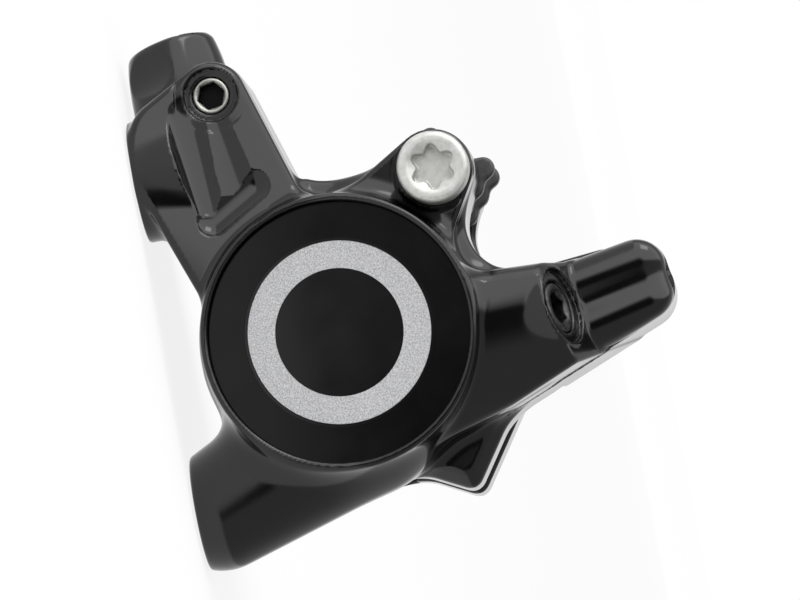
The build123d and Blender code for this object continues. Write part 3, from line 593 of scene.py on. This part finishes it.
INNER_ARM = ((*PLUG, 2.9), (*ARM_BOLT, 5.2), (*ARM_ROOT, 6.0))
INNER_BOSS_RADIUS = 15.0
INNER_BOSS_TAPER = 0.178
INNER_TAPER_FROM = 5.5
INNER_BOSS_DEPTHS = (-11.0, 19.0)
INNER_FRONT = 10.0
INNER_ARM_BACK = 27.5
INNER_LUG = ((3.6, 31.0), TIP_BOLT, 5.2, 4.35)
INNER_LUG_BACK = 22.5
INNER_PAD_BOSS_RADIUS = 3.7
INNER_PAD_BOSS_DEPTHS = (15.0, 24.5)
INNER_Z_FROM = 0.15
INNER_BORE = (PISTON, 10.0, IN, 10.6, 19.15)
HEAD_SEAT = (19.0, IN, 3.75, 14.0)
BODY_BOLT_HOLE = (10.0, IN, 2.65, 14.0)
BOLT_END_HOLE = (PAD_BOLT, 12.0, IN, 2.06, 20.0)
INNER_OIL_WAY = (PLUG, 10.0, IN, 1.0, 9.0)


def inner_forging(x, y, z):
    """The inner half as it is forged."""
    away = y - ROTOR_Y
    narrowing = INNER_BOSS_TAPER * np.maximum(away - INNER_TAPER_FROM, 0.0)
    boss = slab(
        around(x, z, PISTON) - INNER_BOSS_RADIUS + narrowing, away, *INNER_BOSS_DEPTHS, edge=2.4
    )
    arm = hull3(x, z, *INNER_ARM)
    lug = bar(x, z, *INNER_LUG)
    bolt_outline = pad_boss(x, z, PAD_BOLT, INNER_PAD_BOSS_RADIUS)
    web = web_outline(x, z, arm, bolt_outline, lug) + WEB_SINK
    arm_fillet = 1.0 + fade(z - WIDE_FROM_Z)
    body = meld(boss, slab(arm, y, INNER_FRONT, INNER_ARM_BACK, edge=2.0), arm_fillet)
    lug_fillet = 1.0 + fade(WIDE_UNDER_X - x)
    body = meld(body, slab(lug, y, INNER_FRONT, INNER_LUG_BACK, edge=2.0), lug_fillet)
    body = meld(body, slab(bolt_outline, y, *INNER_PAD_BOSS_DEPTHS, edge=0.5), fillet=1.5)
    body = meld(body, slab(web, y, INNER_FRONT, INNER_LUG_BACK, edge=0.8), fillet=0.8)
    return meld(body, end_wall(x, y, z, 1), fillet=1.6)


def inner_half(x, y, z):
    """The inner half of the body, which closes the other cylinder."""
    body = clip(inner_forging(x, y, z), JOINT_GAP - (y - ROTOR_Y), fillet=0.5)
    body = clip(body, INNER_Z_FROM - z, fillet=0.3)
    body = carve(body, rotor_space(x, y, z, 1), fillet=0.5)
    body = carve(body, hole(x, y, z, *INNER_BORE), fillet=0.3)
    for place in (ARM_BOLT, TIP_BOLT):
        body = carve(body, hole(x, y, z, place, *HEAD_SEAT), fillet=0.4)
        body = carve(body, hole(x, y, z, place, *BODY_BOLT_HOLE), fillet=0.25)
    body = carve(body, hole(x, y, z, *BOLT_END_HOLE), fillet=0.3)
    return carve(body, hole(x, y, z, *INNER_OIL_WAY), fillet=0.25)


# Small turned pieces

# Lobed socket: how far it is turned, and what keeps its slope near that of a distance
LOBES = 6
LOBES_TURN = 0.5
LOBES_SCALE = 0.85

# Turn of a hexagon in degrees
HEXAGON_TURN = 10

# Pad bolt: head and shank have their radius, start and end
BOLT_HEAD = (3.62, -7.3, -3.7)
BOLT_SHANK = (2.0, -3.8, 26.8)
CLIP_GROOVE_DEPTH = 0.5
CLIP_GROOVE_PLACE = 24.95
CLIP_GROOVE_HALF_WIDTH = 0.3
BOLT_SINK_RADIUS = 2.55
BOLT_SINK_WAY = (0.55, 0.835)
BOLT_SOCKET_RADII = (1.65, 2.32)
BOLT_SOCKET_DEPTHS = (-8.5, -5.4)


def lobes(x, z, centre, inner, outer):
    """The outline of a six-lobed socket."""
    px, pz = x - centre[0], z - centre[1]
    turn = np.arctan2(pz, px)
    mean, swing = (inner + outer) / 2, (outer - inner) / 2
    wave = swing * np.cos(LOBES * turn + LOBES_TURN)
    return LOBES_SCALE * (np.sqrt(px * px + pz * pz) - mean - wave)


def hexagon(across, up, flats):
    """The outline of a hexagon, by the distance between its flats."""
    out = None
    for turn in range(3):
        angle = math.radians(60 * turn + HEXAGON_TURN)
        side = np.abs(across * math.cos(angle) + up * math.sin(angle)) - flats / 2
        out = side if out is None else np.maximum(out, side)
    return out


def pad_bolt(x, y, z):
    """The bolt that the pads hang on, with a rounded head and a worn, countersunk socket."""
    rho = around(x, z, PAD_BOLT)
    head = slab(rho - BOLT_HEAD[0], y, *BOLT_HEAD[1:], edge=0.6)
    shank = slab(rho - BOLT_SHANK[0], y, *BOLT_SHANK[1:], edge=0.4)
    groove = rounded(
        np.abs(rho - BOLT_SHANK[0]) - CLIP_GROOVE_DEPTH,
        np.abs(y - CLIP_GROOVE_PLACE) - CLIP_GROOVE_HALF_WIDTH,
        edge=0.05,
    )
    body = meld(head, carve(shank, groove, fillet=0.1), fillet=0.3)
    sink = BOLT_SINK_WAY[0] * (rho - BOLT_SINK_RADIUS) + BOLT_SINK_WAY[1] * (y - BOLT_HEAD[1])
    body = carve(body, sink, fillet=0.15)
    mouth, floor = BOLT_SOCKET_DEPTHS
    socket = rounded(lobes(x, z, PAD_BOLT, *BOLT_SOCKET_RADII), y - floor, edge=0.2)
    return carve(body, np.maximum(socket, mouth - y), fillet=0.15)


# Pads' backing plates: the plate, the tab with its lobes and hole, and the depths of their faces
PLATE_HALF_SPAN = 11.8
PLATE_DROP = 0.4
PLATE_HALF_HEIGHT = 9.0
PLATE_THICKNESS = 1.8
TAB_HALF_SPAN = 3.1
TAB_HALF_HEIGHT = 11.1
LOBE_REACHES = (22.2, 19.9, 17.6)
LOBE_RADIUS = 1.15
TAB_HOLE_RADIUS = 2.1
OUTER_PLATE_FACE = 7.5
INNER_PLATE_FACE = 16.7


def pad_plate(x, y, z, face):
    """A pad's backing plate, with the wavy tab that hangs on the bolt."""
    t, r = pad_places(x, z)
    plate = rounded(
        np.abs(t) - PLATE_HALF_SPAN, np.abs(r + PLATE_DROP) - PLATE_HALF_HEIGHT, edge=1.6
    )
    tab = rounded(
        np.abs(t) - TAB_HALF_SPAN, np.abs(r - TAB_HALF_HEIGHT) - TAB_HALF_HEIGHT, edge=0.1
    )
    for reach in LOBE_REACHES:
        lobe = around(np.abs(t), r, (TAB_HALF_SPAN, reach)) - LOBE_RADIUS
        tab = meld(tab, lobe, fillet=1.1)
    tab = meld(tab, around(t, r, (0.0, LOBE_REACHES[0])) - LOBE_RADIUS, fillet=1.1)
    bolt_hole = around(t, r, (0.0, BOLT_REACH)) - TAB_HOLE_RADIUS
    outline = carve(meld(plate, tab, fillet=1.5), bolt_hole, fillet=0.1)
    return slab(outline, y, face, face + PLATE_THICKNESS, edge=0.3)


def outer_plate(x, y, z):
    """The outer pad's backing plate."""
    return pad_plate(x, y, z, OUTER_PLATE_FACE)


def inner_plate(x, y, z):
    """The inner pad's backing plate."""
    return pad_plate(x, y, z, INNER_PLATE_FACE)


# Plug, and its socket from mouth to floor
PLUG_RADIUS = 1.85
PLUG_DEPTHS = (-2.6, 2.4)
PLUG_FLATS = 2.5
PLUG_SOCKET_DEPTHS = (-5.0, -0.8)
PLUG_MOUTH_RADIUS = 1.55


def plug(x, y, z):
    """The grub screw in the oil passage, with a worn rim round its hex socket."""
    rho = around(x, z, PLUG)
    body = slab(rho - PLUG_RADIUS, y, *PLUG_DEPTHS, edge=0.3)
    mouth, floor = PLUG_SOCKET_DEPTHS
    socket = np.maximum(hexagon(x - PLUG[0], z - PLUG[1], PLUG_FLATS), y - floor)
    body = carve(body, np.maximum(socket, mouth - y), fillet=0.12)
    return carve(body, DIAGONAL * (rho - PLUG_MOUTH_RADIUS + y - PLUG_DEPTHS[0]), fillet=0.1)


# Bleed screw, in places along its axis from the recess's mouth
BLEED_RADIUS = 2.65
BLEED_SPAN = (-6.9, -0.4)
BLEED_NECK_DEPTH = 0.8
BLEED_NECK = (-3.8, -3.0)
BLEED_SEAT_RADIUS = 1.325
BLEED_SINK_RADIUS = 1.9
BLEED_SINK_WAY = (0.6, -0.8)
BLEED_FLATS = 3.0
BLEED_SOCKET_FLOOR = -2.8


def bleed_screw(x, y, z):
    """The bleed screw, with a raised rim, a hex socket and a pointed seat."""
    seat, rim = BLEED_SPAN
    side = np.array((0.0, 0.0, 1.0)) - BLEED_WAY[2] * BLEED_WAY
    side /= np.linalg.norm(side)
    out = past(x, y, z, BLEED, BLEED_WAY)
    across = past(x, y, z, BLEED, side)
    up = past(x, y, z, BLEED, np.cross(BLEED_WAY, side))
    rho = np.sqrt(across * across + up * up)
    body = slab(rho - BLEED_RADIUS, out, seat, rim, edge=0.35)
    neck = slab(np.abs(rho - BLEED_RADIUS) - BLEED_NECK_DEPTH, out, *BLEED_NECK, edge=0.05)
    body = carve(body, neck, fillet=0.1)
    body = clip(body, DIAGONAL * (rho - BLEED_SEAT_RADIUS - out + seat), fillet=0.2)
    sink = BLEED_SINK_WAY[0] * (rho - BLEED_SINK_RADIUS) + BLEED_SINK_WAY[1] * (out - rim)
    body = carve(body, sink, fillet=0.1)
    socket = np.maximum(hexagon(across, up, BLEED_FLATS), BLEED_SOCKET_FLOOR - out)
    return carve(body, socket, fillet=0.12)


# Materials

# Where a noise texture's values mostly lie
NOISE_SPAN = (0.3, 0.7)


def shader(name, colour, metallic=0.0, roughness=0.3, **sockets):
    """A material whose main shader has its steady values set on its own sockets."""
    material = bpy.data.materials.new(name)
    material.use_nodes = True
    main = material.node_tree.nodes["Principled BSDF"]
    main.inputs["Base Color"].default_value = (*colour, 1.0)
    main.inputs["Metallic"].default_value = metallic
    main.inputs["Roughness"].default_value = roughness
    for socket, value in sockets.items():
        main.inputs[socket.replace("_", " ")].default_value = value
    return material, main


def noise(tree, scale, detail=4.0, roughness=0.5):
    """A noise texture in the object's own coordinates."""
    places = tree.nodes.new("ShaderNodeTexCoord")
    texture = tree.nodes.new("ShaderNodeTexNoise")
    texture.inputs["Scale"].default_value = scale
    texture.inputs["Detail"].default_value = detail
    texture.inputs["Roughness"].default_value = roughness
    tree.links.new(places.outputs["Object"], texture.inputs["Vector"])
    return texture.outputs["Fac"]


def spread(tree, fac, low, high, to_low, to_high, way="LINEAR"):
    """Maps a value from one span onto another."""
    remap = tree.nodes.new("ShaderNodeMapRange")
    remap.interpolation_type = way
    spans = {"From Min": low, "From Max": high, "To Min": to_low, "To Max": to_high}
    for socket, value in spans.items():
        remap.inputs[socket].default_value = value
    tree.links.new(fac, remap.inputs["Value"])
    return remap.outputs["Result"]


def tint(tree, main, fac, low, high):
    """Makes a shader's colour run from one to another with a value."""
    mix = tree.nodes.new("ShaderNodeMix")
    mix.data_type = "RGBA"
    mix.inputs["A"].default_value = (*low, 1.0)
    mix.inputs["B"].default_value = (*high, 1.0)
    tree.links.new(fac, mix.inputs["Factor"])
    tree.links.new(mix.outputs["Result"], main.inputs["Base Color"])


def roughen(tree, main, grain, low, high):
    """Makes a shader's roughness follow a noise, from low to high."""
    tree.links.new(spread(tree, grain, *NOISE_SPAN, low, high), main.inputs["Roughness"])


def bump(tree, main, height, strength, distance):
    """Raises and sinks a shader's surface with a value."""
    node = tree.nodes.new("ShaderNodeBump")
    node.inputs["Strength"].default_value = strength
    node.inputs["Distance"].default_value = distance * MM
    tree.links.new(height, node.inputs["Height"])
    tree.links.new(node.outputs["Normal"], main.inputs["Normal"])


def anodised():
    """Gloss black anodised aluminium, a little uneven from the forging under it."""
    material, main = shader("anodised_black", (0.006, 0.006, 0.0065), roughness=0.16, IOR=1.52)
    tree = material.node_tree
    cloud = noise(tree, scale=90.0, detail=3.0)
    roughen(tree, main, cloud, 0.1, 0.17)
    tint(tree, main, cloud, (0.0012, 0.0012, 0.0014), (0.003, 0.003, 0.0034))
    bump(tree, main, noise(tree, scale=900.0, detail=3.0), strength=0.08, distance=0.02)
    return material


def cap_black():
    """Satin black of the turned cap."""
    material, main = shader("cap_black", (0.001, 0.001, 0.0011), roughness=0.14, IOR=1.35)
    tree = material.node_tree
    roughen(tree, main, noise(tree, scale=260.0), 0.11, 0.17)
    return material


def badge_black():
    """Deep gloss black of the disc."""
    material, main = shader("badge_black", (0.0015, 0.0015, 0.0017), roughness=0.1, IOR=1.45)
    tree = material.node_tree
    roughen(tree, main, noise(tree, scale=180.0), 0.09, 0.16)
    return material


def silver_paint():
    """Silver paint with a fine sparkle."""
    material, main = shader("silver_paint", (0.5, 0.5, 0.51), roughness=0.5)
    tree = material.node_tree
    grain = noise(tree, scale=6500.0, detail=2.0, roughness=0.7)
    flakes = spread(tree, grain, 0.4, 0.6, 0.0, 1.0)
    tint(tree, main, flakes, (0.3, 0.3, 0.31), (0.56, 0.56, 0.57))
    bump(tree, main, grain, strength=0.2, distance=0.02)
    return material


def steel(name, low, high, roughness, metallic=1.0):
    """Turned or plated steel, a little uneven."""
    material, main = shader(name, high, metallic=metallic, roughness=roughness)
    tree = material.node_tree
    grain = noise(tree, scale=1500.0, roughness=0.6)
    tint(tree, main, spread(tree, grain, *NOISE_SPAN, 0.0, 1.0), low, high)
    roughen(tree, main, grain, roughness - 0.06, roughness + 0.08)
    bump(tree, main, grain, strength=0.12, distance=0.02)
    return material


# Depths between which the plug's worn rim turns to its socket, which is painted near-black as
# shade
WORN_RIM_TO_PAINTED_SHADE_DEPTHS = (-2.1, -1.6)


def worn_plug_painted_shade():
    """Steel of the plug, worn bright on its rim, and painted near-black below it as the shade in
    its hex socket.
    """
    material, main = shader("plug_steel", (0.02, 0.02, 0.02), metallic=0.9, roughness=0.4)
    tree = material.node_tree
    places = tree.nodes.new("ShaderNodeTexCoord")
    split = tree.nodes.new("ShaderNodeSeparateXYZ")
    tree.links.new(places.outputs["Object"], split.inputs[0])
    depth = spread(tree, split.outputs["Y"], WORN_RIM_TO_PAINTED_SHADE_DEPTHS[0] * MM, WORN_RIM_TO_PAINTED_SHADE_DEPTHS[1] * MM, 0.0, 1.0)
    # Below the worn rim the plug is painted near-black: painted shade for its deep hex socket
    tint(tree, main, depth, (0.42, 0.42, 0.39), (0.006, 0.006, 0.006))
    bump(tree, main, noise(tree, scale=1800.0), strength=0.3, distance=0.03)
    return material


def plain(name, low, high, roughness, scale, strength):
    """A coated, moulded or pressed surface with a grain."""
    material, main = shader(name, low, roughness=roughness)
    tree = material.node_tree
    grain = noise(tree, scale, detail=5.0, roughness=0.6)
    tint(tree, main, spread(tree, grain, *NOISE_SPAN, 0.0, 1.0), low, high)
    bump(tree, main, grain, strength, distance=0.1)
    return material


def make_materials():
    """One material for each slot of the record, and one for the plug, worn on its rim and with
    painted shade in its socket.
    """
    bolt_tones = ((0.5, 0.5, 0.48), (0.66, 0.66, 0.63))
    dark_tones = ((0.03, 0.03, 0.03), (0.09, 0.09, 0.09))
    spring_tones = ((0.2, 0.195, 0.185), (0.34, 0.335, 0.32))
    piston_tones = ((0.4, 0.4, 0.41), (0.56, 0.56, 0.57))
    plate_tones = ((0.03, 0.03, 0.032), (0.06, 0.06, 0.063))
    friction_tones = ((0.06, 0.05, 0.04), (0.22, 0.17, 0.13))
    insulator_tones = ((0.14, 0.09, 0.05), (0.22, 0.15, 0.09))
    rubber_tones = ((0.012, 0.012, 0.012), (0.02, 0.02, 0.02))
    return {
        "plug": worn_plug_painted_shade(),
        "black_anodised": anodised(),
        "cap_black": cap_black(),
        "badge_black": badge_black(),
        "silver_paint": silver_paint(),
        "bolt_steel": steel("bolt_steel", *bolt_tones, roughness=0.4, metallic=0.6),
        "dark_steel": steel("dark_steel", *dark_tones, roughness=0.4),
        "pad_steel": plain("pad_steel", *plate_tones, 0.42, scale=900.0, strength=0.15),
        "friction_compound": plain(
            "friction_compound", *friction_tones, 0.85, scale=1100.0, strength=0.7
        ),
        "spring_steel": steel("spring_steel", *spring_tones, roughness=0.3),
        "piston_metal": steel("piston_metal", *piston_tones, roughness=0.28),
        "insulator": plain("insulator", *insulator_tones, 0.6, scale=700.0, strength=0.2),
        "seal_rubber": plain("seal_rubber", *rubber_tones, 0.7, scale=500.0, strength=0.1),
    }


def dress(materials):
    """Gives each carried-over solid the material of its slot."""
    for part in frame["record"]["subparts"]:
        solid = bpy.data.objects[part["node"]]
        solid.data.materials.clear()
        solid.data.materials.append(materials[part["material_slot"]])


# Floor, light and backdrop

def camera_ray(tree):
    """One for what the camera sees, also by glass or reflection, and nothing for light."""
    path = tree.nodes.new("ShaderNodeLightPath")
    total = path.outputs["Is Camera Ray"]
    for ray in ("Is Glossy Ray", "Is Transmission Ray"):
        either = tree.nodes.new("ShaderNodeMath")
        either.operation = "MAXIMUM"
        tree.links.new(total, either.inputs[0])
        tree.links.new(path.outputs[ray], either.inputs[1])
        total = either.outputs[0]
    return total


# Floor, in metres: how far it reaches, its front edge, its drop under the feet, and its glow
FLOOR = 3.0
FLOOR_FRONT = 0.2
FLOOR_DROP = 0.0002
FLOOR_GLOW_SHARE = 0.85


def add_stage():
    """A plain pale floor, white where it is seen, with what shadow falls on it."""
    mesh = bpy.data.meshes.new("floor")
    corners = [
        (-FLOOR, -FLOOR_FRONT, 0), (FLOOR, -FLOOR_FRONT, 0), (FLOOR, FLOOR, 0), (-FLOOR, FLOOR, 0)
    ]
    mesh.from_pydata(corners, [], [(0, 1, 2, 3)])
    floor = add_piece("floor", mesh)
    floor.location.z = -FLOOR_DROP
    material, main = shader("floor_pale", (0.9, 0.9, 0.9), roughness=0.8, Specular_IOR_Level=0.0)
    tree = material.node_tree
    seen = tree.nodes.new("ShaderNodeEmission")
    seen.inputs["Strength"].default_value = 1.0
    share = tree.nodes.new("ShaderNodeMath")
    share.operation = "MULTIPLY"
    share.inputs[1].default_value = FLOOR_GLOW_SHARE
    mix = tree.nodes.new("ShaderNodeMixShader")
    tree.links.new(camera_ray(tree), share.inputs[0])
    tree.links.new(share.outputs[0], mix.inputs[0])
    tree.links.new(main.outputs[0], mix.inputs[1])
    tree.links.new(seen.outputs[0], mix.inputs[2])
    tree.links.new(mix.outputs[0], tree.nodes["Material Output"].inputs["Surface"])
    floor.data.materials.append(material)


# Tent: its light, and where it changes, as shares of the way up the picture or toward the camera
TENT_RADIUS = 2.0
LOW_LIGHT = 0.45
HIGH_LIGHT = 2.1
BEHIND_LIGHT = 0.5
OPENING_LIGHT = 0.1
SOFT_BOX_EDGE_SHARES = (0.08, 0.24)
OPENING_SHARES = (0.92, 0.985)
BEHIND_SHARES = (-0.05, -0.55)
STRAIGHT_SHARES = (-0.85, -0.95)


def picture_axes():
    """The ways toward the camera and up in the picture."""
    turn = bpy.context.scene.camera.matrix_world.to_3x3()
    return turn.col[2], turn.col[1]


def share_of(tree, way, axis):
    """How far a direction runs along an axis, from minus one to one."""
    node = tree.nodes.new("ShaderNodeVectorMath")
    node.operation = "DOT_PRODUCT"
    node.inputs[1].default_value = axis
    tree.links.new(way, node.inputs[0])
    return node.outputs["Value"]


def times(tree, a, b):
    """The product of two values."""
    node = tree.nodes.new("ShaderNodeMath")
    node.operation = "MULTIPLY"
    tree.links.new(a, node.inputs[0])
    tree.links.new(b, node.inputs[1])
    return node.outputs[0]


def mixed(tree, fac, a, b):
    """A value that runs from a to the steady b."""
    node = tree.nodes.new("ShaderNodeMix")
    tree.links.new(fac, node.inputs["Factor"])
    tree.links.new(a, node.inputs["A"])
    node.inputs["B"].default_value = b
    return node.outputs["Result"]


def add_world():
    """A white room."""
    world = bpy.data.worlds.new("studio")
    bpy.context.scene.world = world
    world.use_nodes = True
    room = world.node_tree.nodes["Background"]
    room.inputs["Color"].default_value = (1, 1, 1, 1)
    room.inputs["Strength"].default_value = 1.0


def add_tent():
    """The tent round the object: a soft box over a dim side, dark round the lens, white behind."""
    form = bmesh.new()
    bmesh.ops.create_uvsphere(form, u_segments=48, v_segments=24, radius=TENT_RADIUS)
    mesh = bpy.data.meshes.new("tent")
    form.to_mesh(mesh)
    form.free()
    tent = add_piece("tent", mesh)
    tent.visible_camera = False
    tent.visible_shadow = False
    material = bpy.data.materials.new("tent_light")
    material.use_nodes = True
    tree = material.node_tree
    tree.nodes.remove(tree.nodes["Principled BSDF"])
    light = tree.nodes.new("ShaderNodeEmission")
    places = tree.nodes.new("ShaderNodeTexCoord")
    way = tree.nodes.new("ShaderNodeVectorMath")
    way.operation = "NORMALIZE"
    tree.links.new(places.outputs["Object"], way.inputs[0])
    back, up = picture_axes()
    rise = share_of(tree, way.outputs[0], up)
    toward = share_of(tree, way.outputs[0], back)
    soft_box = spread(tree, rise, *SOFT_BOX_EDGE_SHARES, LOW_LIGHT, HIGH_LIGHT, "SMOOTHSTEP")
    opening = spread(tree, toward, *OPENING_SHARES, 1.0, OPENING_LIGHT)
    front = times(tree, soft_box, opening)
    behind = spread(tree, toward, *BEHIND_SHARES, 0.0, 1.0, "SMOOTHSTEP")
    around_it = mixed(tree, behind, front, BEHIND_LIGHT)
    straight = spread(tree, toward, *STRAIGHT_SHARES, 0.0, 1.0, "SMOOTHSTEP")
    tree.links.new(mixed(tree, straight, around_it, 1.0), light.inputs["Strength"])
    tree.links.new(light.outputs[0], tree.nodes["Material Output"].inputs["Surface"])
    tent.data.materials.append(material)


# Lamp, in millimetres and watts
LAMP_PLACE = Vector((-420, -200, 300))
LAMP_AIM = Vector((0, 0, 20))
LAMP_SIZE = 240
LAMP_POWER = 0.6


def add_lamp():
    """A weak, soft square lamp in front of the object."""
    lamp = bpy.data.objects.new("key", bpy.data.lights.new("key", "AREA"))
    lamp.data.size = LAMP_SIZE * MM
    lamp.data.energy = LAMP_POWER
    lamp.location = LAMP_PLACE * MM
    lamp.rotation_euler = (LAMP_AIM - LAMP_PLACE).to_track_quat("-Z", "Y").to_euler()
    bpy.context.scene.collection.objects.link(lamp)


bpy.context.scene.view_settings.view_transform = "Standard"
add_camera()
materials = make_materials()
dress(materials)

SLOTS = {part["node"]: part["material_slot"] for part in frame["record"]["subparts"]}

# Pieces: name, shape, low and high corner, step of the grid, and the node that each replaces
PIECES = (
    ("outer_half", outer_half, (-34, -9.5, -1), (25, 14, 53), GRID, "outboard_body"),
    ("inner_half", inner_half, (-30, 12, -1), (24, 34, 52), GRID, "inboard_body"),
    ("hanger_bolt", pad_bolt, (-17, -8, 25), (-8, 28, 35), GRID / 2, "pad_axle_bolt"),
    ("oil_plug", plug, (-27, -3.2, 6.5), (-21.5, 3, 11.8), GRID / 3, "passage_plug"),
    ("bleed_nipple", bleed_screw, (-0.5, -6.5, 30), (8, 4, 42), GRID / 2.5, "bleed_screw"),
    ("outer_pad_back", outer_plate, (-20, 7, 2), (16.5, 10, 38), GRID, "pad_plate_outboard"),
    ("inner_pad_back", inner_plate, (-20, 16.3, 2), (16.5, 19, 38), GRID, "pad_plate_inboard"),
)
RIDERS = {
    "bleed_screw": "bleeder",
    "pad_plate_outboard": "outer_pad",
    "pad_plate_inboard": "inner_pad",
}
for name, shape, low, high, step, node in PIECES:
    slot = SLOTS[node]
    piece = solid_mesh(name, shape, low, high, step)
    piece.data.materials.append(materials["plug" if node == "passage_plug" else slot])
    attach(piece, RIDERS.get(node, "housing"))
    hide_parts(node)

add_stage()
add_world()
add_tent()
add_lamp()
